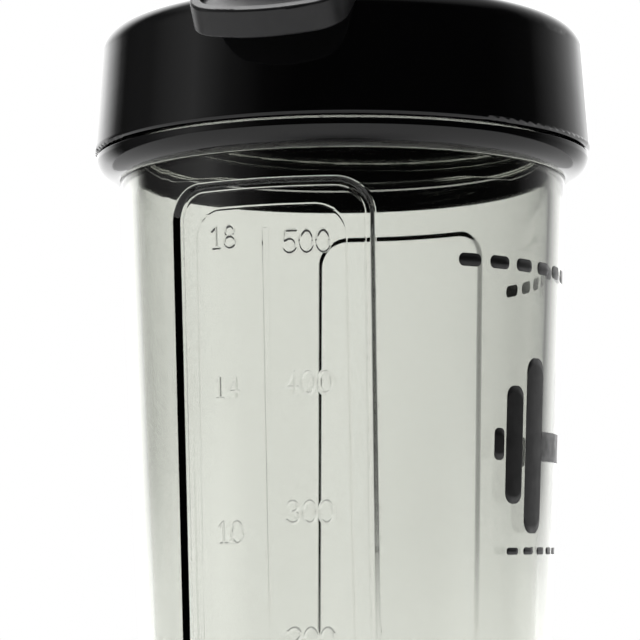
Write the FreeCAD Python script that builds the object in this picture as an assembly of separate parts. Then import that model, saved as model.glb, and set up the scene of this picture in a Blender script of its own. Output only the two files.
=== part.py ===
import FreeCAD, Part
import math
import os

# Protein shaker bottle, in millimetres, +Z up.  The origin is the centre of the
# base, on the surface that the bottle stands on.  The lid's thumb tab points to -Y.

# --- cup: heights with a sign are counted from SHOULDER_Z ------------------------
SHOULDER_Z = 150.0        # top of the tapered body, where the lid's skirt ends
CUP_TOP_R = 40.45         # outer radius of the taper at SHOULDER_Z
CUP_TAPER = 0.0441        # radius lost per millimetre of depth
CUP_WALL = 2.8
FLOOR_Z = 3.4
BASE_CORNER = 5.0         # outside rounding of the base
FLOOR_CORNER = 4.0
GROOVE_R = 23.0           # ring groove in the flat base
GROOVE_HALF = 1.2
GROOVE_DEPTH = 0.9
NECK_R = 39.5             # outer radius of the threaded neck
NECK_BORE_R = 37.4
NECK_HEIGHT = 15.0
RIM_EDGE = 0.5
BORE_LOW = -8.0           # the inner wall widens to the neck's bore from here
BORE_HIGH = -2.0
SEAT_R = 40.2             # straight band that the collar sits on
SEAT_BOTTOM = -4.45
BEAD_R = 41.5             # ridge that holds the collar down
BEAD_LOW = -0.2
BEAD_HIGH = 0.8
BEAD_TOP = 1.6            # where its upper slope meets the neck

PANEL_TURN = -5.2         # degrees from -Y to the middle of the front panel
PANEL_HALF_WIDTH = 18.1   # at its top
PANEL_NARROWING = 0.0075  # half width lost per millimetre of depth
PANEL_CORNER = 6.0
PANEL_TOP = -9.3
PANEL_BOTTOM = -128.0
PANEL_DEPTH = 1.0
BAR_WIDTH = 1.1           # raised bar down the middle of the front panel
BAR_TOP = -17.2
BAR_BOTTOM = -121.0
BAR_HEIGHT = 0.2

# --- collar ---------------------------------------------------------------------
COLLAR_R = 44.6
COLLAR_TOP = -0.25
COLLAR_EDGE = 0.9         # height of its upright outer edge
COLLAR_BOTTOM = -4.35
COLLAR_FOOT_R = 40.9
COLLAR_BULGE = 0.55       # outward bow of its sloping underside
COLLAR_FIT = 0.05

# --- threads --------------------------------------------------------------------
THREAD_LEAD = 8.0
ROOT_HALF = 1.3           # half the ridge's axial width at its root
CREST_HALF = 0.6
THREAD_START = 3.6        # centre of the cup thread's lowest end
CUP_THREAD_R = 40.9
LID_THREAD_R = 40.1
THREAD_DROP = 2.0         # from the cup thread's centre down to the lid thread's
CUP_TURNS = 1.2
LID_TURNS = 1.0
LID_THREAD_DELAY = 45.0   # degrees from the cup thread's end to the lid thread's
ROOT_SINK = 0.3           # how far a ridge or bar reaches into its wall

# --- lid ------------------------------------------------------------------------
SKIRT_FOOT_R = 45.0
SKIRT_TOP_R = 43.8
SKIRT_BOTTOM = 0.3
SKIRT_TOP = 18.3
SKIRT_LIP = (0.8, 0.9)    # size of the rounding of the skirt's foot, across and up
SKIRT_BORE_R = 41.9
CHANNEL_TOP = 17.25       # ceiling of the channel that takes the cup's rim
PLUG_R = 37.0             # inner skirt that hangs inside the neck
PLUG_BORE_R = 35.2
PLUG_BOTTOM = 9.0
LID_WALL = 2.0
SHOULDER_MIDDLE = (43.1, 20.75)   # on the rounding from the skirt to the shoulder
SHOULDER_EDGE = (41.2, 22.3)
CONE_FOOT = (34.6, 25.9)  # radius and height where the steep cone starts
CONE_SLOPE = 41.0         # degrees
DECK_R = 12.0             # where the cone rounds off
DECK_FLAT_R = 8.4
DECK_RISE = 1.4
DECK_BELLY = (0.45, 0.72)   # where the arc between them bows to, as shares of the run and the rise
CEILING_ROUND = (2.0, 0.6)  # bevel under the deck, across and up
SEAL_THICKNESS = 2.0
SEAL_BORE_R = 37.1
SEAL_R = 41.5
SEAL_GAP = 0.12

# --- spout and flip cap: drawn about the centre of the spout's mouth -------------
CAP_TILT = 35.0           # slope of the mouth, degrees
MOUTH_Y = -32.3
MOUTH_HEIGHT = 35.9       # above SHOULDER_Z
SPOUT_R = 11.8
SPOUT_BORE_R = 10.0
SPOUT_DEPTH = 9.0
SPOUT_BORE_DEPTH = 12.5
COVER_R = 15.2
COVER_BORE_R = 13.0
COVER_TOP = 3.2           # above the mouth
COVER_ROOF = 1.7          # underside of the roof, above the mouth
COVER_BOTTOM = -7.0       # before the lid's surface trims it
COVER_EDGE = 1.8
TAB_HALF = 13.1
TAB_END_Y = -55.5
TAB_END_HEIGHT = 15.7     # top edge of the tab's end, above SHOULDER_Z
TAB_DEPTH = 5.0
TAB_CORNER = 6.5
TAB_BOW = 1.0
TAB_RIM = 1.7
TAB_RECESS = 1.2
TAB_ROUND = 0.5
TAB_ROOT = -6.0           # the tab and the arm reach into the cover to here
ARM_HALF = 8.0
ARM_TOP = 2.6
ARM_BOTTOM = -0.8
CAP_CLEAR = 0.5           # gap between the flip cap and the lid
PLUG_SEAL_R = 9.75
PLUG_SEAL_DEPTH = 2.4
PLUG_SEAL_WALL = 1.6
PLUG_SEAL_LEAD = (0.6, 0.8)   # bevel of its end, across and up
LINER_R = 12.7

# --- hinge and carry loop --------------------------------------------------------
HINGE_REACH = 31.0        # spout axis to hinge axis, level with the mouth
BARREL_R = 4.4
BARREL_HALF = 9.0
EAR_INNER = 9.35
EAR_WIDTH = 3.6
EAR_R = 4.6
EAR_FRONT = 7.0           # foot of the ear, in front of and behind the axis
EAR_BACK = 8.0
EAR_FOOT = 39.0           # above SHOULDER_Z, inside the cone's wall
PIN_R = 2.0
PIN_PRESS = 0.01
PIN_FIT = 0.06            # radial running clearance on the pin
PIN_HEAD_R = 3.3
PIN_HEAD = 1.0
LOOP_INNER = 13.3         # half of the finger gap
LOOP_ARM = 3.8
LOOP_THICKNESS = 5.0
LOOP_LENGTH = 44.0
LOOP_GRIP = 8.0           # depth of the bar at its free end
LOOP_CORNER = 14.0
LOOP_ROUND = 1.2
LOOP_REST = 25.0          # degrees below level when folded back
LOOP_GAP = 0.3            # from the loop's arm to the pin's head

# --- whisk ball -----------------------------------------------------------------
BALL_R = 23.5             # to the wire's centre line
WIRE_R = 1.15
BALL_HALF_TURNS = 12
BALL_POLE = 16.0          # degrees from the pole where the wire starts
BALL_LIFT = 0.1           # above the cup's floor

ARC_DROP = 1 - math.sqrt(0.5)   # offset of a quarter arc's middle from its corner, over its radius
PAST = 1.0                # how far a cutting shape runs past the material
UP = FreeCAD.Vector(0, 0, 1)
ACROSS = FreeCAD.Vector(1, 0, 0)
CENTRE = FreeCAD.Vector(0, 0, 0)


def vec(x, y, z):
    return FreeCAD.Vector(x, y, z)


def edges_through(start, steps, place):
    """Edges from start; a step is a point, or (via, end) for an arc."""
    here = place(start)
    edges = []
    for step in steps:
        if isinstance(step[0], tuple):
            via, end = place(step[0]), place(step[1])
            edges.append(Part.Arc(here, via, end).toShape())
        else:
            end = place(step)
            edges.append(Part.LineSegment(here, end).toShape())
        here = end
    edges.append(Part.LineSegment(here, place(start)).toShape())
    return edges


def profile(start, *steps):
    """Face in the XZ plane from (radius, height) points."""
    return Part.Face(Part.Wire(edges_through(start, steps, lambda p: vec(p[0], 0, p[1]))))


def lathe(start, *steps):
    return profile(start, *steps).revolve(CENTRE, UP, 360)


def plate(low, high, start, *steps):
    """Prism between two heights from an outline of (x, y) points."""
    wire = Part.Wire(edges_through(start, steps, lambda p: vec(p[0], p[1], low)))
    return Part.Face(wire).extrude(vec(0, 0, high - low))


def rod(radius, half, y=0.0, z=0.0):
    """Cylinder along X, centred on x = 0."""
    return Part.makeCylinder(radius, 2 * half, vec(-half, y, z), ACROSS)


def turned(shape, degrees):
    copy = shape.copy()
    copy.rotate(CENTRE, UP, degrees)
    return copy


def tipped(shape, degrees, to):
    """Turns a shape about X, then moves it."""
    copy = shape.copy()
    copy.rotate(CENTRE, ACROSS, degrees)
    copy.translate(to)
    return copy


def on_cap(shape):
    return tipped(shape, CAP_TILT, vec(0, MOUTH_Y, SHOULDER_Z + MOUTH_HEIGHT))


def level_edges(shape, wanted):
    """Edges of a plate's two faces whose bounding box is wanted."""
    return [e for e in shape.Edges if abs(e.tangentAt(e.FirstParameter).z) < 0.5 and wanted(e.BoundBox)]


def one_solid(shape):
    solid = shape.removeSplitter()
    if len(solid.Solids) != 1:
        raise ValueError("expected one solid, found %d" % len(solid.Solids))
    return solid.Solids[0]


def hinge_axis():
    """Y and Z of the hinge axis."""
    tilt = math.radians(CAP_TILT)
    return (MOUTH_Y + HINGE_REACH * math.cos(tilt),
            SHOULDER_Z + MOUTH_HEIGHT + HINGE_REACH * math.sin(tilt))


def thread(root_r, crest_r, low, turns):
    """A right-handed ridge of trapezoidal section."""
    spine = Part.makeHelix(THREAD_LEAD, THREAD_LEAD * turns, crest_r)
    section = Part.makePolygon([vec(root_r, 0, -ROOT_HALF), vec(crest_r, 0, -CREST_HALF),
                                vec(crest_r, 0, CREST_HALF), vec(root_r, 0, ROOT_HALF),
                                vec(root_r, 0, -ROOT_HALF)])
    ridge = Part.Wire(spine).makePipeShell([section], True, True)
    ridge.translate(vec(0, 0, low))
    return ridge


# --- cup --------------------------------------------------------------------------
def cup_radius(z):
    return CUP_TOP_R - CUP_TAPER * (SHOULDER_Z - z)


def taper_solid(inset, low=FLOOR_Z, high=SHOULDER_Z):
    """The body's cone with its radius reduced by inset."""
    return Part.makeCone(cup_radius(low) - inset, cup_radius(high) - inset, high - low, vec(0, 0, low))


def panel_prism():
    """Both panels' outline, driven through the cup from front to back."""
    low = SHOULDER_Z + PANEL_BOTTOM
    high = SHOULDER_Z + PANEL_TOP
    wide = PANEL_HALF_WIDTH
    narrow = wide - PANEL_NARROWING * (high - low)
    front = -CUP_TOP_R - PAST
    outline = [vec(-narrow, front, low), vec(narrow, front, low), vec(wide, front, high),
               vec(-wide, front, high), vec(-narrow, front, low)]
    block = Part.Face(Part.makePolygon(outline)).extrude(vec(0, -2 * front, 0))
    corners = [e for e in block.Edges if abs(e.tangentAt(e.FirstParameter).y) > 0.9]
    return turned(block.makeFillet(PANEL_CORNER, corners), PANEL_TURN)


def cup():
    top = SHOULDER_Z
    rim = top + NECK_HEIGHT
    base_r = cup_radius(0)
    soft = ARC_DROP * BASE_CORNER
    seat_z = top + SEAT_BOTTOM
    groove = (GROOVE_R - GROOVE_HALF, 0), ((GROOVE_R, GROOVE_DEPTH), (GROOVE_R + GROOVE_HALF, 0))
    outside = lathe((0, 0), *groove, (base_r - BASE_CORNER, 0),
                    ((base_r - soft, soft), (cup_radius(BASE_CORNER), BASE_CORNER)),
                    (cup_radius(seat_z), seat_z), (SEAT_R, seat_z), (SEAT_R, top + BEAD_LOW),
                    (BEAD_R, top + BEAD_LOW), (BEAD_R, top + BEAD_HIGH), (NECK_R, top + BEAD_TOP),
                    (NECK_R, rim - RIM_EDGE), (NECK_R - RIM_EDGE, rim), (0, rim))
    floor_r = cup_radius(FLOOR_Z) - CUP_WALL
    wall_z = FLOOR_Z + FLOOR_CORNER
    soft = ARC_DROP * FLOOR_CORNER
    cavity = lathe((0, FLOOR_Z), (floor_r - FLOOR_CORNER, FLOOR_Z),
                   ((floor_r - soft, FLOOR_Z + soft), (cup_radius(wall_z) - CUP_WALL, wall_z)),
                   (cup_radius(top + BORE_LOW) - CUP_WALL, top + BORE_LOW), (NECK_BORE_R, top + BORE_HIGH),
                   (NECK_BORE_R, rim + PAST), (0, rim + PAST))
    skin = taper_solid(-PAST).cut(taper_solid(PANEL_DEPTH))
    body = outside.cut(panel_prism().common(skin)).cut(cavity)
    bar_skin = taper_solid(PANEL_DEPTH - BAR_HEIGHT).cut(taper_solid(PANEL_DEPTH + ROOT_SINK))
    bar = Part.makeBox(BAR_WIDTH, CUP_TOP_R, BAR_TOP - BAR_BOTTOM)
    bar.translate(vec(-BAR_WIDTH / 2, -CUP_TOP_R, top + BAR_BOTTOM))
    ridge = thread(NECK_R - ROOT_SINK, CUP_THREAD_R, top + THREAD_START, CUP_TURNS)
    return one_solid(body.fuse([turned(bar, PANEL_TURN).common(bar_skin), ridge]))


def neck_collar():
    bore = SEAT_R + COLLAR_FIT
    low = SHOULDER_Z + COLLAR_BOTTOM
    high = SHOULDER_Z + COLLAR_TOP
    edge = high - COLLAR_EDGE
    bulge = (COLLAR_FOOT_R + COLLAR_R) / 2 + COLLAR_BULGE, (low + edge) / 2 - COLLAR_BULGE
    return one_solid(lathe((bore, low), (COLLAR_FOOT_R, low), (bulge, (COLLAR_R, edge)), (COLLAR_R, high),
                           (bore, high)))


# --- lid --------------------------------------------------------------------------
def cone_z(radius, drop=0.0):
    """Height of the lid's cone, or of a surface a given thickness below it."""
    slope = math.radians(CONE_SLOPE)
    return SHOULDER_Z + CONE_FOOT[1] + (CONE_FOOT[0] - radius) * math.tan(slope) - drop / math.cos(slope)


def lid_outside():
    """Outer profile of the lid, filled in down to the skirt's edge."""
    z0 = SHOULDER_Z
    deck_z = cone_z(DECK_R)
    low = z0 + SKIRT_BOTTOM
    across, up = SKIRT_LIP
    lip_middle = SKIRT_FOOT_R - across * ARC_DROP, low + up * ARC_DROP
    belly_in, belly_up = DECK_BELLY
    deck_middle = DECK_R - belly_in * (DECK_R - DECK_FLAT_R), deck_z + belly_up * DECK_RISE
    edge_r, edge_z = SHOULDER_EDGE
    middle_r, middle_z = SHOULDER_MIDDLE
    cone_r, cone_low = CONE_FOOT
    return profile((0, low), (SKIRT_FOOT_R - across, low), (lip_middle, (SKIRT_FOOT_R, low + up)),
                   (SKIRT_TOP_R, z0 + SKIRT_TOP), ((middle_r, z0 + middle_z), (edge_r, z0 + edge_z)),
                   (cone_r, z0 + cone_low), (DECK_R, deck_z),
                   (deck_middle, (DECK_FLAT_R, deck_z + DECK_RISE)), (0, deck_z + DECK_RISE))


def lid_cavity():
    """Room under the cone, inside the plug."""
    low = SHOULDER_Z + PLUG_BOTTOM - PAST
    deck_z = cone_z(DECK_R, LID_WALL)
    across, up = CEILING_ROUND
    return lathe((0, low), (PLUG_BORE_R, low), (PLUG_BORE_R, cone_z(PLUG_BORE_R, LID_WALL)), (DECK_R, deck_z),
                 (DECK_R - across, deck_z + up), (0, deck_z + up))


def ear():
    """One hinge ear, on the +X side."""
    y, z = hinge_axis()
    foot = SHOULDER_Z + EAR_FOOT
    outline = [vec(EAR_INNER, y - EAR_R, z), vec(EAR_INNER, y - EAR_FRONT, foot),
               vec(EAR_INNER, y + EAR_BACK, foot), vec(EAR_INNER, y + EAR_R, z), vec(EAR_INNER, y - EAR_R, z)]
    web = Part.Face(Part.makePolygon(outline)).extrude(vec(EAR_WIDTH, 0, 0))
    return web.fuse(Part.makeCylinder(EAR_R, EAR_WIDTH, vec(EAR_INNER, y, z), ACROSS))


def screw_lid():
    z0 = SHOULDER_Z
    shell = lid_outside().revolve(CENTRE, UP, 360)
    low = z0 - PAST
    channel = lathe((PLUG_R, low), (PLUG_R, z0 + CHANNEL_TOP), (SKIRT_BORE_R, z0 + CHANNEL_TOP),
                    (SKIRT_BORE_R, low))
    below_plug = Part.makeCylinder(PLUG_R + PAST, PLUG_BOTTOM + PAST, vec(0, 0, low))
    cavity = lid_cavity()
    ears = ear()
    ears = ears.fuse(ears.mirror(CENTRE, ACROSS)).cut(cavity)
    spout = on_cap(Part.makeCylinder(SPOUT_R, SPOUT_DEPTH, vec(0, 0, -SPOUT_DEPTH)))
    bore = on_cap(Part.makeCylinder(SPOUT_BORE_R, SPOUT_BORE_DEPTH + PAST, vec(0, 0, -SPOUT_BORE_DEPTH)))
    lid = shell.cut([channel, below_plug, cavity]).fuse([ears, spout]).cut(bore)
    lid = lid.cut(rod(PIN_R + PIN_PRESS, EAR_INNER + EAR_WIDTH + PAST, *hinge_axis()))
    start = z0 + THREAD_START - THREAD_DROP + THREAD_LEAD * LID_THREAD_DELAY / 360
    ridge = turned(thread(SKIRT_BORE_R + ROOT_SINK, LID_THREAD_R, start, LID_TURNS), LID_THREAD_DELAY)
    return one_solid(lid.fuse(ridge))


def lid_seal():
    low = SHOULDER_Z + NECK_HEIGHT + SEAL_GAP
    ring = Part.makeCylinder(SEAL_R, SEAL_THICKNESS, vec(0, 0, low))
    return ring.cut(Part.makeCylinder(SEAL_BORE_R, SEAL_THICKNESS, vec(0, 0, low)))


# --- flip cap ---------------------------------------------------------------------
def lid_keep_out():
    """The lid's outside, grown by the gap that the flip cap keeps."""
    grown = lid_outside().makeOffset2D(CAP_CLEAR)
    reach = 2 * SKIRT_FOOT_R
    top = 2 * SHOULDER_Z
    right_half = profile((0, 0), (reach, 0), (reach, top), (0, top))
    return grown.common(right_half).revolve(CENTRE, UP, 360)


def thumb_tab():
    """Tab with a rim round its sunk top, drawn about the spout's mouth."""
    tilt = math.radians(CAP_TILT)
    dy = TAB_END_Y - MOUTH_Y
    dz = TAB_END_HEIGHT - MOUTH_HEIGHT
    end = dy * math.cos(tilt) + dz * math.sin(tilt)
    top = dz * math.cos(tilt) - dy * math.sin(tilt)

    flat = TAB_HALF - TAB_CORNER
    lean = 2 * math.atan(TAB_BOW / flat)
    centre_y = end + TAB_CORNER + TAB_BOW

    def paddle(inset, back, low, high):
        """The tab's outline drawn in by inset: a bowed front, tangent to its corners."""
        corner = TAB_CORNER - inset
        half = TAB_HALF - inset

        def on_corner(angle):
            return flat + corner * math.cos(angle), centre_y - corner * math.sin(angle)

        middle = (math.pi / 2 - lean) / 2
        (mx, my), (ex, ey) = on_corner(middle), on_corner(2 * middle)
        return plate(low, high, (-half, back), (-half, centre_y), ((-mx, my), (-ex, ey)),
                     ((0, end + inset), (ex, ey)), ((mx, my), (half, centre_y)), (half, back))

    body = paddle(0, TAB_ROOT, top - TAB_DEPTH, top)
    body = body.makeFillet(TAB_ROUND, level_edges(body, lambda box: box.YMin < TAB_ROOT - PAST))
    return body.cut(paddle(TAB_RIM, -COVER_R - TAB_RIM / 2, top - TAB_RECESS, top + PAST))


def flip_cap():
    soft = ARC_DROP * COVER_EDGE
    cover = lathe((0, COVER_BOTTOM), (COVER_R, COVER_BOTTOM), (COVER_R, COVER_TOP - COVER_EDGE),
                  ((COVER_R - soft, COVER_TOP - soft), (COVER_R - COVER_EDGE, COVER_TOP)), (0, COVER_TOP))
    arm = Part.makeBox(2 * ARM_HALF, HINGE_REACH, ARM_TOP - ARM_BOTTOM, vec(-ARM_HALF, 0, ARM_BOTTOM))
    barrel = rod(BARREL_R, BARREL_HALF, HINGE_REACH)
    room_bottom = COVER_BOTTOM - PAST
    room = Part.makeCylinder(COVER_BORE_R, COVER_ROOF - room_bottom, vec(0, 0, room_bottom))
    pin_bore = rod(PIN_R + PIN_FIT, BARREL_HALF + PAST, HINGE_REACH)
    shape = cover.fuse([arm, barrel, thumb_tab()]).cut([room, pin_bore])
    return one_solid(on_cap(shape).cut(lid_keep_out()))


def spout_seal():
    """Soft liner of the cover, with a hollow plug that enters the spout."""
    inner = PLUG_SEAL_R - PLUG_SEAL_WALL
    across, up = PLUG_SEAL_LEAD
    return on_cap(lathe((0, COVER_ROOF), (LINER_R, COVER_ROOF), (LINER_R, SEAL_GAP), (PLUG_SEAL_R, SEAL_GAP),
                        (PLUG_SEAL_R, up - PLUG_SEAL_DEPTH), (PLUG_SEAL_R - across, -PLUG_SEAL_DEPTH),
                        (inner, -PLUG_SEAL_DEPTH), (inner, SEAL_GAP), (0, SEAL_GAP)))


# --- hinge pin and carry loop -----------------------------------------------------
def hinge_pin():
    half = LOOP_INNER + LOOP_ARM + LOOP_GAP
    y, z = hinge_axis()
    heads = [Part.makeCylinder(PIN_HEAD_R, PIN_HEAD, vec(x, y, z), ACROSS)
             for x in (half, -half - PIN_HEAD)]
    return one_solid(rod(PIN_R, half, y, z).fuse(heads))


def carry_loop():
    def horseshoe(half, corner, end, back):
        soft = corner * ARC_DROP
        return plate(-LOOP_THICKNESS / 2, LOOP_THICKNESS / 2, (-half, back), (half, back),
                     (half, end - corner), ((half - soft, end - soft), (half - corner, end)),
                     (corner - half, end), ((soft - half, end - soft), (-half, end - corner)))

    outer = LOOP_INNER + LOOP_ARM
    loop = horseshoe(outer, LOOP_CORNER, LOOP_LENGTH, 0)
    loop = loop.cut(horseshoe(LOOP_INNER, LOOP_CORNER - LOOP_ARM, LOOP_LENGTH - LOOP_GRIP, -PAST))
    loop = loop.makeFillet(LOOP_ROUND, level_edges(loop, lambda box: box.YMax > PAST))
    eyes = rod(BARREL_R, outer).cut(rod(BARREL_R + PAST, LOOP_INNER))
    loop = loop.fuse(eyes).cut(rod(PIN_R + PIN_FIT, outer + PAST))
    y, z = hinge_axis()
    return one_solid(tipped(loop, -LOOP_REST, vec(0, y, z)))


# --- whisk ball -------------------------------------------------------------------
def whisk_ball():
    """One wire coiled over a sphere in half turns, whose ends all run along Y."""
    centre = vec(0, 0, FLOOR_Z + BALL_LIFT + BALL_R * math.cos(math.radians(BALL_POLE)) + WIRE_R)
    step = (180 - 2 * BALL_POLE) / BALL_HALF_TURNS
    stops = []
    for i in range(BALL_HALF_TURNS + 1):
        polar = math.radians(BALL_POLE + step * i)
        side = 1 if i % 2 == 0 else -1
        stops.append(centre + vec(side * BALL_R * math.sin(polar), 0, -BALL_R * math.cos(polar)))
    halves = []
    for a, b in zip(stops, stops[1:]):
        middle = (a + b) * 0.5
        axis = (b - a).cross(vec(0, 1, 0)).normalize()
        if axis.z < 0:
            axis = axis * -1
        section = Part.Face(Part.Wire(Part.makeCircle(WIRE_R, a, vec(0, 1, 0))))
        halves.append(section.revolve(middle, axis, 180))
    return one_solid(halves[0].fuse(halves[1:]))


NODES = {
    "cup": cup,
    "neck_collar": neck_collar,
    "lid_seal": lid_seal,
    "screw_lid": screw_lid,
    "flip_cap": flip_cap,
    "spout_seal": spout_seal,
    "hinge_pin": hinge_pin,
    "carry_loop": carry_loop,
    "whisk_ball": whisk_ball,
}

os.makedirs("parts", exist_ok=True)
for name, build in NODES.items():
    shape = build()
    print(name, "valid" if shape.isValid() else "INVALID", "%.1f cm3" % (shape.Volume / 1000),
          "z %.1f to %.1f" % (shape.BoundBox.ZMin, shape.BoundBox.ZMax))
    shape.exportStep("parts/%s.step" % name)
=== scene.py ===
import math

import bmesh
import bpy
import numpy as np
from mathutils import Matrix, Vector


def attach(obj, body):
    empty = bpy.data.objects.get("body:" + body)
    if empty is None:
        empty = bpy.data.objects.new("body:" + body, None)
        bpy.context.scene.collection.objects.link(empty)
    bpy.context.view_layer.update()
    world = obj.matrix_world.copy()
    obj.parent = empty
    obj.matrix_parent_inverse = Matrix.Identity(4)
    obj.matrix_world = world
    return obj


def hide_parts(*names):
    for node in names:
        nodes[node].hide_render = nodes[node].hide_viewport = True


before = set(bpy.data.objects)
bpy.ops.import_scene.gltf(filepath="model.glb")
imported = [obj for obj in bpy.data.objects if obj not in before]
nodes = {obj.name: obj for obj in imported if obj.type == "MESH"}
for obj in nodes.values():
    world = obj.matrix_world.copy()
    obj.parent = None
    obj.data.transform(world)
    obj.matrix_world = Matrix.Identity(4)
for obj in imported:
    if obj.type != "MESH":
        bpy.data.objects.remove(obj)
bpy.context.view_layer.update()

MM = 0.001
SHOULDER_Z = 150.0        # millimetres: top of the cup's taper, where the lid's skirt ends

# --- camera ---------------------------------------------------------------------
CAMERA_AZIMUTH = 14.2     # degrees round from the front, towards +X
CAMERA_DISTANCE = 0.4297
CAMERA_DROP = 0.0701      # below SHOULDER_Z
CAMERA_AIM = 0.56         # degrees to the left of the bottle's axis
CAMERA_PITCH = 5.43
CAMERA_ROLL = -0.26
LENS = 134.2
SENSOR = 36.0


def direction(azimuth):
    """Level unit vector; azimuth in degrees from the front (-Y) towards +X."""
    a = math.radians(azimuth)
    return Vector((math.sin(a), -math.cos(a), 0))


def make_camera():
    data = bpy.data.cameras.new("camera")
    data.lens = LENS
    data.sensor_width = SENSOR
    data.clip_start = 0.01
    data.clip_end = 20
    camera = bpy.data.objects.new("camera", data)
    bpy.context.scene.collection.objects.link(camera)
    place = direction(CAMERA_AZIMUTH) * CAMERA_DISTANCE
    place.z = SHOULDER_Z * MM - CAMERA_DROP
    heading = Matrix.Rotation(math.radians(CAMERA_AZIMUTH + CAMERA_AIM), 4, "Z")
    pitch = Matrix.Rotation(math.radians(90 + CAMERA_PITCH), 4, "X")
    roll = Matrix.Rotation(math.radians(CAMERA_ROLL), 4, "Z")
    camera.matrix_world = Matrix.Translation(place) @ heading @ pitch @ roll
    bpy.context.scene.camera = camera


# --- studio ---------------------------------------------------------------------
# Brightness of the room by azimuth, in degrees from the camera's side towards its right.
# The back is a bright paper sweep, the front is an unlit room.  Rays that come straight from
# the camera see plain white instead, which is that sweep overexposed.
ROOM = [(-180, 2.1), (-149, 2.05), (-143, 1.62), (-137, 1.14), (-132, 0.59), (-128, 0.2), (-122, 0.05),
        (-100, 0.12), (-72, 0.5), (-54, 0.16), (-36, 0.03), (-20, 0.008), (75, 0.008), (99, 0.03),
        (116, 0.28), (135, 0.78), (146, 1.24), (154, 1.65), (164, 1.95), (180, 2.1)]
# What rays that have passed through the cup see, above and below the horizon.
THROUGH = [(-180, 2.0), (-172, 2.1), (-149, 2.05), (-143, 1.62), (-137, 1.14), (-132, 0.4), (-126, 0.05),
           (-72, 0.3), (-54, 0.1), (-36, 0.03), (99, 0.02), (128, 0.03), (137, 0.12), (146, 0.75),
           (156, 1.35), (166, 1.6), (174, 1.75), (180, 2.0)]
UNDER = [(-180, 2.1), (-72, 2.1), (-52, 0.03), (52, 0.03), (72, 2.1), (180, 2.1)]
UNDER_RISE = (-4.0, 1.0)  # degrees of elevation over which the one gives way to the other
ZENITH = 0.5
ZENITH_RISE = (35, 75)    # degrees of elevation over which the room gives way to it
RAMP_SCALE = 4.0          # a colour ramp holds 0 to 1, so the tables are stored as shares of this
FLOOR_R = 0.5
FLOOR_SHADE = 0.86
FLOOR_ROUGHNESS = 0.7
FLOOR_GLOW = 0.08         # the floor is a pale table, faintly lit from below
LIGHT_BACK = 0.3          # the soft light hangs this far behind the bottle
LIGHT_HEIGHT = 1.3
LIGHT_AIM_HEIGHT = 0.1
LIGHT_SIZE = (0.9, 0.7)
LIGHT_POWER = 9


def make_world():
    world = bpy.data.worlds.new("studio")
    bpy.context.scene.world = world
    world.use_nodes = True
    t = world.node_tree
    new = t.nodes.new
    coord = new("ShaderNodeTexCoord")

    def feed(sockets, values):
        for socket, value in zip(sockets, values):
            if isinstance(value, (int, float)):
                socket.default_value = value
            else:
                t.links.new(value, socket)

    def dot(v):
        n = new("ShaderNodeVectorMath")
        n.operation = "DOT_PRODUCT"
        t.links.new(coord.outputs["Generated"], n.inputs[0])
        n.inputs[1].default_value = v
        return n.outputs["Value"]

    def math_node(operation, a, b):
        n = new("ShaderNodeMath")
        n.operation = operation
        feed(n.inputs, (a, b))
        return n.outputs[0]

    angle = math_node("ARCTAN2", dot(direction(CAMERA_AZIMUTH + 90)), dot(direction(CAMERA_AZIMUTH)))
    turn = math_node("ADD", math_node("DIVIDE", angle, 2 * math.pi), 0.5)

    def ramp(stops):
        n = new("ShaderNodeValToRGB")
        while len(n.color_ramp.elements) < len(stops):
            n.color_ramp.elements.new(0.5)
        for element, (degrees, value) in zip(n.color_ramp.elements, stops):
            element.position = (degrees + 180) / 360
            share = value / RAMP_SCALE
            element.color = (share, share, share, 1)
        t.links.new(turn, n.inputs[0])
        return math_node("MULTIPLY", n.outputs["Color"], RAMP_SCALE)

    def blend(share, low, high):
        n = new("ShaderNodeMix")
        feed((n.inputs[0], n.inputs[2], n.inputs[3]), (share, low, high))
        return n.outputs[0]

    def risen(first, last):
        """Share from 0 to 1 as the elevation goes from first to last."""
        n = new("ShaderNodeMapRange")
        n.interpolation_type = "SMOOTHSTEP"
        t.links.new(dot((0, 0, 1)), n.inputs["Value"])
        n.inputs["From Min"].default_value = math.sin(math.radians(first))
        n.inputs["From Max"].default_value = math.sin(math.radians(last))
        return n.outputs["Result"]

    around = blend(risen(*ZENITH_RISE), ramp(ROOM), ZENITH)
    through = blend(risen(*UNDER_RISE), ramp(UNDER), ramp(THROUGH))
    path = new("ShaderNodeLightPath")
    light = blend(path.outputs["Is Transmission Ray"], around, through)
    light = blend(path.outputs["Is Camera Ray"], light, 1.0)
    t.links.new(light, t.nodes["Background"].inputs["Strength"])
    t.nodes["Background"].inputs["Color"].default_value = (1, 1, 1, 1)


def make_floor():
    mesh = bpy.data.meshes.new("floor")
    bm = bmesh.new()
    bmesh.ops.create_circle(bm, cap_ends=True, segments=128, radius=FLOOR_R)
    bm.to_mesh(mesh)
    bm.free()
    floor = bpy.data.objects.new("floor", mesh)
    bpy.context.scene.collection.objects.link(floor)
    material = bpy.data.materials.new("floor")
    material.use_nodes = True
    sockets = material.node_tree.nodes["Principled BSDF"].inputs
    sockets["Base Color"].default_value = (FLOOR_SHADE, FLOOR_SHADE, FLOOR_SHADE, 1)
    sockets["Roughness"].default_value = FLOOR_ROUGHNESS
    sockets["Emission Color"].default_value = (1, 1, 1, 1)
    sockets["Emission Strength"].default_value = FLOOR_GLOW
    mesh.materials.append(material)


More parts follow.
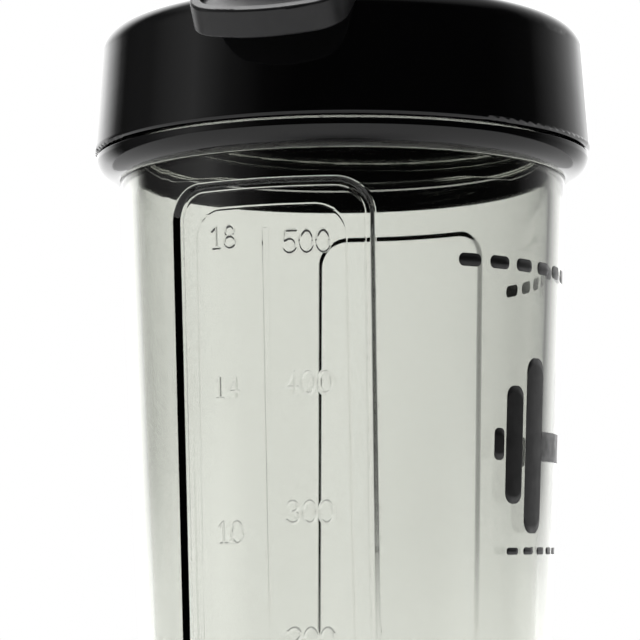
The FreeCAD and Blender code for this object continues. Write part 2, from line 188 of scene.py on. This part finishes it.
def make_light():
    data = bpy.data.lights.new("overhead", "AREA")
    data.shape = "RECTANGLE"
    data.size, data.size_y = LIGHT_SIZE
    data.energy = LIGHT_POWER
    light = bpy.data.objects.new("overhead", data)
    bpy.context.scene.collection.objects.link(light)
    place = direction(CAMERA_AZIMUTH + 180) * LIGHT_BACK + Vector((0, 0, LIGHT_HEIGHT))
    light.location = place
    light.rotation_euler = (Vector((0, 0, LIGHT_AIM_HEIGHT)) - place).to_track_quat("-Z", "Y").to_euler()


bpy.context.scene.view_settings.view_transform = "Standard"
make_camera()
make_world()
make_floor()
make_light()


# --- materials ------------------------------------------------------------------
NOISE_LOW, NOISE_HIGH = 0.35, 0.65    # the part of a noise's range that a look uses


class Look:
    """A Principled material with room for procedural detail in object coordinates."""

    def __init__(self, name, colour, roughness, **sockets):
        self.material = bpy.data.materials.new(name)
        self.material.use_nodes = True
        self.tree = self.material.node_tree
        self.shader = self.tree.nodes["Principled BSDF"]
        self.shader.inputs["Base Color"].default_value = (*colour, 1)
        self.shader.inputs["Roughness"].default_value = roughness
        for socket, value in sockets.items():
            self.shader.inputs[socket.replace("_", " ")].default_value = value
        self.coords = self.tree.nodes.new("ShaderNodeTexCoord").outputs["Object"]

    def noise(self, scale, detail=3.0, stretch=(1, 1, 1)):
        mapping = self.tree.nodes.new("ShaderNodeMapping")
        mapping.inputs["Scale"].default_value = stretch
        self.tree.links.new(self.coords, mapping.inputs["Vector"])
        n = self.tree.nodes.new("ShaderNodeTexNoise")
        n.inputs["Scale"].default_value = scale
        n.inputs["Detail"].default_value = detail
        self.tree.links.new(mapping.outputs["Vector"], n.inputs["Vector"])
        return n.outputs["Fac"]

    def ranged(self, value, low, high):
        n = self.tree.nodes.new("ShaderNodeMapRange")
        limits = {"From Min": NOISE_LOW, "From Max": NOISE_HIGH, "To Min": low, "To Max": high}
        for socket, number in limits.items():
            n.inputs[socket].default_value = number
        self.tree.links.new(value, n.inputs["Value"])
        return n.outputs["Result"]

    def rough(self, value, low, high):
        self.tree.links.new(self.ranged(value, low, high), self.shader.inputs["Roughness"])

    def tint(self, value, first, second):
        n = self.tree.nodes.new("ShaderNodeMix")
        n.data_type = "RGBA"
        self.tree.links.new(self.ranged(value, 0, 1), n.inputs[0])
        n.inputs[6].default_value = (*first, 1)
        n.inputs[7].default_value = (*second, 1)
        self.tree.links.new(n.outputs[2], self.shader.inputs["Base Color"])

    def bump(self, value, height, strength=1.0):
        n = self.tree.nodes.new("ShaderNodeBump")
        n.inputs["Strength"].default_value = strength
        n.inputs["Distance"].default_value = height
        self.tree.links.new(value, n.inputs["Height"])
        self.tree.links.new(n.outputs["Normal"], self.shader.inputs["Normal"])

    def on(self, *objects):
        for o in objects:
            o.data.materials.clear()
            o.data.materials.append(self.material)


gloss = Look("black_gloss", (0.0025, 0.0025, 0.0028), 0.07)
gloss.rough(gloss.noise(90, 4), 0.05, 0.1)
gloss.bump(gloss.noise(60, 2, (1, 1, 3)), 0.00004)
gloss.on(nodes["screw_lid"])

satin = Look("black_satin", (0.016, 0.016, 0.017), 0.36)
satin.tint(satin.noise(300, 3), (0.013, 0.013, 0.014), (0.019, 0.019, 0.02))
satin.rough(satin.noise(150, 3), 0.32, 0.42)
satin.bump(satin.noise(2600, 2), 0.00002, 0.6)
satin.on(nodes["flip_cap"], nodes["carry_loop"], nodes["hinge_pin"])

rubber = Look("silicone", (0.05, 0.05, 0.052), 0.55)
rubber.tint(rubber.noise(200, 3), (0.044, 0.044, 0.046), (0.058, 0.058, 0.06))
rubber.bump(rubber.noise(900, 2), 0.00003, 0.5)
rubber.on(nodes["lid_seal"], nodes["spout_seal"])

steel = Look("whisk_steel", (0.62, 0.61, 0.6), 0.22, Metallic=1.0)
steel.rough(steel.noise(500, 3), 0.16, 0.3)
steel.tint(steel.noise(120, 2), (0.56, 0.555, 0.55), (0.66, 0.655, 0.65))
steel.on(nodes["whisk_ball"])

ABSORB_COLOUR = (0.5, 0.52, 0.46)
ABSORB_DENSITY = 50.0
clear = Look("smoky_clear", (0.661, 0.668, 0.640), 0.0, Transmission_Weight=1.0, IOR=1.56)
clear.rough(clear.noise(60, 2), 0.0, 0.025)
clear.bump(clear.noise(40, 2, (1, 1, 0.15)), 0.00004, 0.5)
absorb = clear.tree.nodes.new("ShaderNodeVolumeAbsorption")
absorb.inputs["Color"].default_value = (*ABSORB_COLOUR, 1)
absorb.inputs["Density"].default_value = ABSORB_DENSITY
clear.tree.links.new(absorb.outputs["Volume"], clear.tree.nodes["Material Output"].inputs["Volume"])


# --- cup ------------------------------------------------------------------------
# Millimetres, as in the CAD.  Heights with a sign are counted from SHOULDER_Z, and azimuths
# across the cup's face from the middle of its front panel.
CUP_TOP_R = 40.45
CUP_TAPER = 0.0441
CUP_WALL = 2.8
FLOOR_Z = 3.4
BASE_CORNER = 5.0
FLOOR_CORNER = 4.0
GROOVE_R = 23.0
GROOVE_HALF = 1.2
GROOVE_DEPTH = 0.9
NECK_R = 39.5
NECK_BORE_R = 37.4
NECK_HEIGHT = 15.0
RIM_EDGE = 0.5
BORE_LOW = -8.0
BORE_HIGH = -2.0
SEAT_R = 40.2
SEAT_BOTTOM = -4.45
BEAD_R = 41.5
BEAD_LOW = -0.2
BEAD_HIGH = 0.8
BEAD_TOP = 1.6
PANEL_TURN = -5.2
PANEL_HALF_WIDTH = 18.1
PANEL_NARROWING = 0.0075
PANEL_CORNER = 6.0
PANEL_TOP = -9.3
PANEL_BOTTOM = -128.0
PANEL_DEPTH = 1.0
STEP_WIDTH = 0.56         # of the slope from the wall down to the front panel
REAR_STEP_WIDTH = 1.05
STEP_ROUNDING = 0.3       # 0 for a straight slope, 1 for a fully rounded one
RIDGE_OFFSETS = (0.1, -1.3)   # fine ridges round the front panel's edge, outside and inside it
RIDGE_WIDTH = 0.28
RIDGE_HEIGHT = 0.06
LINE_HALF_WIDTH = 13.7    # fine moulded line round the scale
LINE_TOP = -13.6
LINE_BOTTOM = -122.6
LINE_CORNER = 5.0
LINE_WIDTH = 0.24
LINE_HEIGHT = 0.06
BAR_HALF_WIDTH = 0.55
BAR_TOP = -17.2
BAR_BOTTOM = -121.0
BAR_HEIGHT = 0.2
BAR_EDGE = 0.2            # rounding of its outline, and width of the slope round it
THREAD_LEAD = 8.0
THREAD_START = 3.6
THREAD_R = 40.9
THREAD_TURNS = 1.2
ROOT_HALF = 1.3
CREST_HALF = 0.6
THREAD_FADE = 10.0        # degrees over which its ends run out

DIGIT_HEIGHT = 3.6
DIGIT_WIDTH = 2.25
DIGIT_PITCH = 2.85
STROKE_HALF = 0.15
STROKE_SLOPE = 0.13
STROKE_HEIGHT = 0.21
NUMERAL_REACH = 9         # degrees to each side of a column within which its numerals lie
OUNCES = -11.9            # azimuth of each column of numerals
MILLILITRES = 10.5
SCALE = [(OUNCES, "18", -18.25), (OUNCES, "14", -43.5), (OUNCES, "10", -67.7), (OUNCES, "6", -92.2),
         (OUNCES, "2", -116.7), (MILLILITRES, "500", -19.6), (MILLILITRES, "400", -43.1),
         (MILLILITRES, "300", -64.4), (MILLILITRES, "200", -85.2), (MILLILITRES, "100", -106.0)]


def arc(x, y, rx, ry, first, last, count=14):
    angles = np.radians(np.linspace(first, last, count))
    return [(x + rx * math.cos(a), y + ry * math.sin(a)) for a in angles]


# Strokes of each digit in a box 1 wide and 1 high.
DIGITS = {
    "0": [arc(0.5, 0.5, 0.5, 0.5, 0, 360, 28)],
    "1": [[(0.12, 0.8), (0.52, 1.0), (0.52, 0.0)], [(0.18, 0.0), (0.86, 0.0)]],
    "2": [arc(0.5, 0.72, 0.46, 0.28, 165, -38) + [(0.02, 0.0), (0.98, 0.0)]],
    "3": [arc(0.46, 0.76, 0.4, 0.24, 150, -90) + arc(0.46, 0.26, 0.48, 0.26, 90, -150)],
    "4": [[(0.74, 0.0), (0.74, 1.0), (0.0, 0.3), (1.0, 0.3)]],
    "5": [[(0.92, 1.0), (0.16, 1.0), (0.08, 0.54)] + arc(0.46, 0.32, 0.48, 0.32, 130, -150)],
    "6": [arc(0.5, 0.31, 0.47, 0.31, 0, 360, 24), arc(0.72, 0.3, 0.69, 0.7, 96, 180)],
    "8": [arc(0.5, 0.76, 0.38, 0.24, 0, 360, 20), arc(0.5, 0.26, 0.48, 0.26, 0, 360, 24)],
}


def smooth(t):
    t = np.clip(t, 0, 1)
    return t * t * (3 - 2 * t)


def cup_radius(z):
    return CUP_TOP_R - CUP_TAPER * (SHOULDER_Z - z)


def rounded_box(x, z, half_width, low, high, corner):
    """Signed distance from a rounded rectangle, negative inside."""
    dx = np.abs(x) - half_width + corner
    dz = np.abs(z - (low + high) / 2) - (high - low) / 2 + corner
    outside = np.hypot(np.maximum(dx, 0), np.maximum(dz, 0))
    return outside + np.minimum(np.maximum(dx, dz), 0) - corner


def stroke_distance(x, z, text):
    """Distance from the text's centre lines; x and z are from its middle."""
    nearest = np.full(x.shape, 1e3)
    for i, digit in enumerate(text):
        left = (i - (len(text) - 1) / 2) * DIGIT_PITCH - DIGIT_WIDTH / 2
        for stroke in DIGITS[digit]:
            points = [(left + px * DIGIT_WIDTH, (py - 0.5) * DIGIT_HEIGHT) for px, py in stroke]
            for (ax, az), (bx, bz) in zip(points, points[1:]):
                ex, ez = bx - ax, bz - az
                length = max(ex * ex + ez * ez, 1e-9)
                along = np.clip(((x - ax) * ex + (z - az) * ez) / length, 0, 1)
                nearest = np.minimum(nearest, np.hypot(x - ax - along * ex, z - az - along * ez))
    return nearest


def relief(azimuth, z):
    """How far the cup's face stands out from its taper, both in arrays; azimuth in degrees."""
    radius = cup_radius(z)
    height = z - SHOULDER_Z
    across = radius * np.sin(np.radians(azimuth))
    half_width = PANEL_HALF_WIDTH - PANEL_NARROWING * (PANEL_TOP - height)
    edge = rounded_box(across, height, half_width, PANEL_BOTTOM, PANEL_TOP, PANEL_CORNER)
    front = np.cos(np.radians(azimuth)) > 0
    down = -edge / np.where(front, STEP_WIDTH, REAR_STEP_WIDTH)
    out = -PANEL_DEPTH * (STEP_ROUNDING * smooth(down) + (1 - STEP_ROUNDING) * np.clip(down, 0, 1))
    for offset in RIDGE_OFFSETS:
        out += front * RIDGE_HEIGHT * (1 - smooth(np.abs(edge - offset) / (RIDGE_WIDTH / 2)))
    line = np.abs(rounded_box(across, height, LINE_HALF_WIDTH, LINE_BOTTOM, LINE_TOP, LINE_CORNER))
    out += front * LINE_HEIGHT * (1 - smooth(line / (LINE_WIDTH / 2)))
    bar = rounded_box(across, height, BAR_HALF_WIDTH, BAR_BOTTOM, BAR_TOP, BAR_EDGE)
    out += front * BAR_HEIGHT * smooth(-bar / BAR_EDGE + 0.5)
    for column, text, middle in SCALE:
        near = front & (np.abs(azimuth - column) < NUMERAL_REACH) & (np.abs(height - middle) < DIGIT_HEIGHT)
        x = np.radians(azimuth[near] - column) * radius[near]
        gap = stroke_distance(x, height[near] - middle, text) - STROKE_HALF
        out[near] += STROKE_HEIGHT * (1 - smooth(gap / STROKE_SLOPE + 0.5))
    return out


def thread_ridge(azimuth, z):
    """Height of the neck's thread at an azimuth in degrees from +X, counterclockwise."""
    out = np.zeros(z.shape)
    for lap in range(int(THREAD_TURNS) + 1):
        turn = azimuth % 360 + 360 * lap
        ends = np.minimum(turn, 360 * THREAD_TURNS - turn) / THREAD_FADE
        off = np.abs(z - SHOULDER_Z - THREAD_START - THREAD_LEAD * turn / 360)
        crest = np.clip((ROOT_HALF - off) / (ROOT_HALF - CREST_HALF), 0, 1)
        out = np.maximum(out, crest * smooth(ends))
    return (THREAD_R - NECK_R) * out


def spaced(low, high, coarse, zones):
    """Grid lines from low to high, where each zone (from, to, step) is finer."""
    lines = [low]
    while lines[-1] < high - 1e-6:
        here = lines[-1] + 1e-6
        step = min([coarse] + [s for a, b, s in zones if a <= here < b])
        lines.append(min([lines[-1] + step, high] + [a for a, _, _ in zones if a > here]))
    return np.array(lines)


def bevelled(points, bevel, support):
    """A polyline with a small rounded corner and support points in place of each inner point."""
    out = [points[0]]
    for a, b, c in zip(points, points[1:], points[2:]):
        a, b, c = (np.array(p, float) for p in (a, b, c))
        before, after = (a - b), (c - b)
        before, after = before / np.linalg.norm(before), after / np.linalg.norm(after)
        p, q = b + before * bevel, b + after * bevel
        out += [b + before * support, p, (p + q + 2 * b) / 4, q, b + after * support]
    return [tuple(p) for p in out] + [points[-1]]


def quarter(centre, radius, first, last, count):
    return arc(*centre, radius, radius, first, last, count)


def link(name, mesh, body, slot, *replaced):
    o = bpy.data.objects.new(name, mesh)
    bpy.context.scene.collection.objects.link(o)
    mesh.polygons.foreach_set("use_smooth", np.ones(len(mesh.polygons), bool))
    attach(o, body)
    if replaced:
        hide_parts(*replaced)
    return o


# Where the cup's mesh is finer: a place, the reach from and to, and the step.
PANEL_EDGE_COLUMNS = [(0, 23.6, 30.4, 0.12), (0, 17.0, 23.6, 0.5)]
LINE_COLUMNS = [(0, 17.5, 23.2, 0.12)]
MIDDLE_COLUMNS = [(OUNCES, -4.2, 4.2, 0.17), (MILLILITRES, -6.0, 6.0, 0.17), (0, -1.3, 1.3, 0.15)]
WALL_ROWS = [(PANEL_TOP, -1.7, 0.4, 0.08), (PANEL_TOP, -7, -1.7, 0.25), (LINE_TOP, -5, 0.3, 0.12),
             (BAR_TOP, -0.4, 0.2, 0.1), (PANEL_BOTTOM, -0.2, 1.5, 0.15), (PANEL_BOTTOM, 1.5, 7, 0.4),
             (LINE_BOTTOM, -0.3, 5, 0.12)] + [(middle, -2.15, 2.15, 0.13) for _, _, middle in SCALE]
COARSE_COLUMN = 2.5
COARSE_ROW = 3.0
THREAD_ROW = 0.25
INNER_ROWS = 40
CORNER_ROWS = 13
FLOOR_CORNER_ROWS = 11
GROOVE_ROWS = 9
HUB_R = 1.0               # innermost ring of the base and of the floor, and the next
DISC_R = 12.0
NEAR, FAR = 0.1, 0.5      # how far support rows stay from an edge
SMALL_BEVEL = (0.08, 0.16)    # of the neck's lower edges: the bevel and its support rows
BEVEL = (0.12, 0.3)           # of the rim's and the bore's edges
SEAT_LEAD = 0.6           # height of the slope onto the collar's seat
WALL_MARGIN = 0.3         # from the taper's ends to its first and last fine rows
THREAD_MARGIN = (0.55, 0.3)   # from the ridge and from the rim to the rows that carry the thread
NECK_MARGIN = 0.4         # from the neck's ends to the rows that end its corners
INNER_LEAD = 2            # spacing of the inner wall's first rows below the bore
INNER_MARGIN = 0.4        # from its last row to the floor's corner


def zones(places):
    return [(place + a, place + b, step) for place, a, b, step in places]


def cup_azimuths():
    """Columns of the cup's mesh, from the middle of the front panel."""
    sides = zones(PANEL_EDGE_COLUMNS)
    edges = sides + [(-b, -a, step) for a, b, step in sides]
    rear = [(a + 180, b + 180, step) for a, b, step in edges]
    line = zones(LINE_COLUMNS)
    line += [(-b, -a, step) for a, b, step in line]
    return spaced(-90.0, 270.0, COARSE_COLUMN, edges + line + zones(MIDDLE_COLUMNS) + rear)[:-1]


def cup_base():
    """Rows under the cup, from the hub over the groove and round the corner."""
    base_r = cup_radius(0)
    inside, outside = GROOVE_R - GROOVE_HALF, GROOVE_R + GROOVE_HALF
    rows = [(HUB_R, 0), (DISC_R, 0), (inside - FAR, 0), (inside - NEAR, 0)]
    for x in np.linspace(-1, 1, GROOVE_ROWS):
        rows.append((GROOVE_R + GROOVE_HALF * x, GROOVE_DEPTH * (1 - x * x)))
    rows += [(outside + NEAR, 0), (outside + FAR, 0), (base_r - BASE_CORNER - FAR, 0)]
    return rows + quarter((base_r - BASE_CORNER, BASE_CORNER), BASE_CORNER, -90, 0, CORNER_ROWS)


def cup_lower_neck(last):
    """Rows from the taper's last one over the collar's seat and its ridge to the neck."""
    top = SHOULDER_Z
    seat_z = top + SEAT_BOTTOM
    corners = [last, (cup_radius(seat_z), seat_z), (SEAT_R, seat_z + SEAT_LEAD), (SEAT_R, top + BEAD_LOW),
               (BEAD_R, top + BEAD_LOW), (BEAD_R, top + BEAD_HIGH), (NECK_R, top + BEAD_TOP),
               (NECK_R, top + BEAD_TOP + NECK_MARGIN)]
    return bevelled(corners, *SMALL_BEVEL)[1:]


def cup_rim_and_inside():
    """Rows over the rim and down the inner wall to the middle of the floor."""
    bore_low = SHOULDER_Z + BORE_LOW
    rim = SHOULDER_Z + NECK_HEIGHT
    wall_z = FLOOR_Z + FLOOR_CORNER
    floor_r = cup_radius(FLOOR_Z) - CUP_WALL
    inner = [(cup_radius(z) - CUP_WALL, z) for z in (bore_low, bore_low - INNER_LEAD)]
    corners = [(NECK_R, rim - RIM_EDGE - NECK_MARGIN), (NECK_R, rim - RIM_EDGE), (NECK_R - RIM_EDGE, rim),
               (NECK_BORE_R, rim), (NECK_BORE_R, SHOULDER_Z + BORE_HIGH)] + inner
    rows = bevelled(corners, *BEVEL)
    heights = np.linspace(bore_low - 2 * INNER_LEAD, wall_z + INNER_MARGIN, INNER_ROWS)
    rows += [(cup_radius(z) - CUP_WALL, z) for z in heights]
    rows += quarter((floor_r - FLOOR_CORNER, wall_z), FLOOR_CORNER, 0, -90, FLOOR_CORNER_ROWS)
    return rows + [(floor_r - FLOOR_CORNER - FAR, FLOOR_Z), (DISC_R, FLOOR_Z), (HUB_R, FLOOR_Z)]


def make_cup():
    azimuths = cup_azimuths()
    bottom, top = BASE_CORNER - SHOULDER_Z + WALL_MARGIN, SEAT_BOTTOM - WALL_MARGIN
    heights = spaced(bottom, top, COARSE_ROW, zones(WALL_ROWS)) + SHOULDER_Z
    neck_low = SHOULDER_Z + BEAD_TOP + THREAD_MARGIN[0]
    neck_high = SHOULDER_Z + NECK_HEIGHT - RIM_EDGE - THREAD_MARGIN[1]
    base = cup_base()
    wall = [(cup_radius(z), z) for z in heights]
    lower = cup_lower_neck(wall[-1])
    neck = [(NECK_R, z) for z in np.arange(neck_low, neck_high, THREAD_ROW)]

    profile = np.array(base + wall + lower + neck + cup_rim_and_inside())
    a, r = np.meshgrid(np.radians(azimuths + PANEL_TURN), profile[:, 0])
    z = np.repeat(profile[:, 1:], len(azimuths), 1)
    first = len(base)
    face = slice(first, first + len(wall))
    folded = (azimuths + 90) % 180 - 90
    shown = np.where(azimuths < 90, folded, folded + 180)
    r[face] += relief(np.repeat(shown[None], len(wall), 0), z[face])
    first += len(wall) + len(lower)
    face = slice(first, first + len(neck))
    r[face] += thread_ridge(np.repeat((azimuths + PANEL_TURN - 90)[None], len(neck), 0), z[face])

    points = np.stack([r * np.sin(a), -r * np.cos(a), z], -1).reshape(-1, 3)
    n_rows, n_cols = r.shape
    index = np.arange(n_rows * n_cols).reshape(n_rows, n_cols)
    ahead = np.roll(index, -1, 1)
    quads = np.stack([index[:-1], ahead[:-1], ahead[1:], index[1:]], -1).reshape(-1, 4)
    under, over = len(points), len(points) + 1
    points = np.vstack([points, (0, 0, 0), (0, 0, FLOOR_Z)]) * MM
    faces = quads.tolist()
    faces += [(int(ahead[0, i]), int(index[0, i]), under) for i in range(n_cols)]
    faces += [(int(index[-1, i]), int(ahead[-1, i]), over) for i in range(n_cols)]
    mesh = bpy.data.meshes.new("cup_body")
    mesh.from_pydata(points, [], faces)
    return link("cup_body", mesh, "cup", "smoky_clear", "cup")


clear.on(make_cup())


# --- collar ---------------------------------------------------------------------
COLLAR_R = 44.6
COLLAR_TOP = -0.25
COLLAR_EDGE = 0.9
COLLAR_BOTTOM = -4.35
COLLAR_FOOT_R = 40.9
COLLAR_BULGE = 0.55
COLLAR_FIT = 0.05
COLLAR_SEGMENTS = 360
COLLAR_ROWS = 13
COLLAR_BEVEL = (0.1, 0.2)


def make_collar():
    """A ring from its underside, round its slanting face and its top, and down its bore."""
    low, edge, high = COLLAR_BOTTOM, COLLAR_TOP - COLLAR_EDGE, COLLAR_TOP
    bore = SEAT_R + COLLAR_FIT
    slant = []
    for t in np.linspace(0, 1, COLLAR_ROWS):
        bow = COLLAR_BULGE * 4 * t * (1 - t)
        slant.append((COLLAR_FOOT_R + (COLLAR_R - COLLAR_FOOT_R) * t + bow, low + (edge - low) * t - bow))
    start = ((bore + COLLAR_FOOT_R) / 2, low)
    foot = bevelled([start, slant[0], slant[1]], *COLLAR_BEVEL)[1:-1]
    corners = [slant[-2], slant[-1], (COLLAR_R, high), (bore, high), (bore, low), start]
    profile = np.array([start] + foot + slant[1:-1] + bevelled(corners, *COLLAR_BEVEL)[1:-1])
    a, r = np.meshgrid(np.linspace(0, 2 * np.pi, COLLAR_SEGMENTS, endpoint=False), profile[:, 0])
    z = np.repeat(profile[:, 1:], COLLAR_SEGMENTS, 1) + SHOULDER_Z
    points = np.stack([r * np.sin(a), -r * np.cos(a), z], -1).reshape(-1, 3) * MM
    index = np.arange(len(points)).reshape(r.shape)
    ahead, above = np.roll(index, -1, 1), np.roll(index, -1, 0)
    quads = np.stack([index, ahead, np.roll(ahead, -1, 0), above], -1).reshape(-1, 4)
    mesh = bpy.data.meshes.new("collar_ring")
    mesh.from_pydata(points, [], quads.tolist())
    return link("collar_ring", mesh, "cup", "black_gloss", "neck_collar")


gloss.on(make_collar())


# --- print on the cup's right side ----------------------------------------------
PRINT_AZIMUTH = 90.0      # from the front
PRINT_LOW = 0.015         # gap under the ink, and its thickness
PRINT_THICKNESS = 0.05
MARK_Z = 97.0
# Rounded bars of a plain dumbbell: middle, width, height and corner, along and across.
MARK = [(0.0, 17.0, 5.0, 0.4), (11.3, 6.0, 30.0, 2.4), (17.6, 4.6, 20.0, 1.9), (21.6, 2.4, 5.4, 0.9)]
DASH_CORNER = 0.45         # share of a dash's width
PRINT_COLUMN = 0.8         # longest steps of its mesh
PRINT_ROW = 1.5
PRINT_ENDS = 9             # columns round each corner
PRINT_LEAST = 0.02         # half the height that is left at a bar's very end
DASH_ROWS = [(127.6, 4.6, 2.2, 6.6, 5), (79.0, 3.2, 1.2, 4.9, 4)]   # height, length, width, pitch, pairs


def rounded_bar(middle, height, width, tall, corner):
    """Closed shell of a rounded bar that follows the cup; returns its points and faces."""
    half, rise = width / 2, tall / 2
    bend = [half - corner * (1 - math.cos(a)) for a in np.radians(np.linspace(0, 90, PRINT_ENDS))]
    flat = np.linspace(0, half - corner, 2 + int((half - corner) / PRINT_COLUMN))
    right = sorted(set([round(u, 6) for u in bend] + [round(u, 6) for u in flat]))
    across = np.array([-u for u in reversed(right) if u > 0] + right)
    over = np.maximum(np.abs(across) - (half - corner), 0)
    edge = rise - corner + np.sqrt(np.maximum(corner ** 2 - over ** 2, 0))
    edge = np.maximum(edge, PRINT_LEAST)
    up = np.linspace(-1, 1, 2 + int(tall / PRINT_ROW))
    u, v = np.meshgrid(across, up)
    z = height + v * edge[None]
    points = []
    for lift in (PRINT_LOW, PRINT_LOW + PRINT_THICKNESS):
        r = cup_radius(z) + lift
        a = np.radians(PRINT_AZIMUTH) + (middle + u) / cup_radius(height)
        points.append(np.stack([r * np.sin(a), -r * np.cos(a), z], -1).reshape(-1, 3))
    rows, cols = u.shape
    index = np.arange(rows * cols).reshape(rows, cols)
    quads = np.stack([index[:-1, :-1], index[:-1, 1:], index[1:, 1:], index[1:, :-1]], -1).reshape(-1, 4)
    rim = np.concatenate([index[0, :-1], index[:-1, -1], index[-1, :0:-1], index[:0:-1, 0]])
    ahead = np.roll(rim, -1)
    lift = rows * cols
    side = np.stack([rim, ahead, ahead + lift, rim + lift], -1)
    faces = np.vstack([quads[:, ::-1], quads + lift, side])
    return np.vstack(points), faces


def make_print():
    bars = []
    for middle, width, tall, corner in MARK:
        bars += [(s * middle, MARK_Z, width, tall, corner) for s in ((1, -1) if middle else (1,))]
    for height, length, width, pitch, pairs in DASH_ROWS:
        for i in range(-pairs, pairs):
            bars.append(((i + 0.5) * pitch, height, length, width, width * DASH_CORNER))
    points, faces, count = [], [], 0
    for bar in bars:
        p, f = rounded_bar(*bar)
        points.append(p)
        faces.append(f + count)
        count += len(p)
    mesh = bpy.data.meshes.new("side_print")
    mesh.from_pydata(np.vstack(points) * MM, [], np.vstack(faces).tolist())
    return link("side_print", mesh, "cup", "black_satin")


ink = Look("ink", (0.006, 0.006, 0.006), 0.4)
ink.tint(ink.noise(700, 3), (0.004, 0.004, 0.004), (0.010, 0.010, 0.010))
ink.rough(ink.noise(400, 2), 0.34, 0.46)
ink.on(make_print())
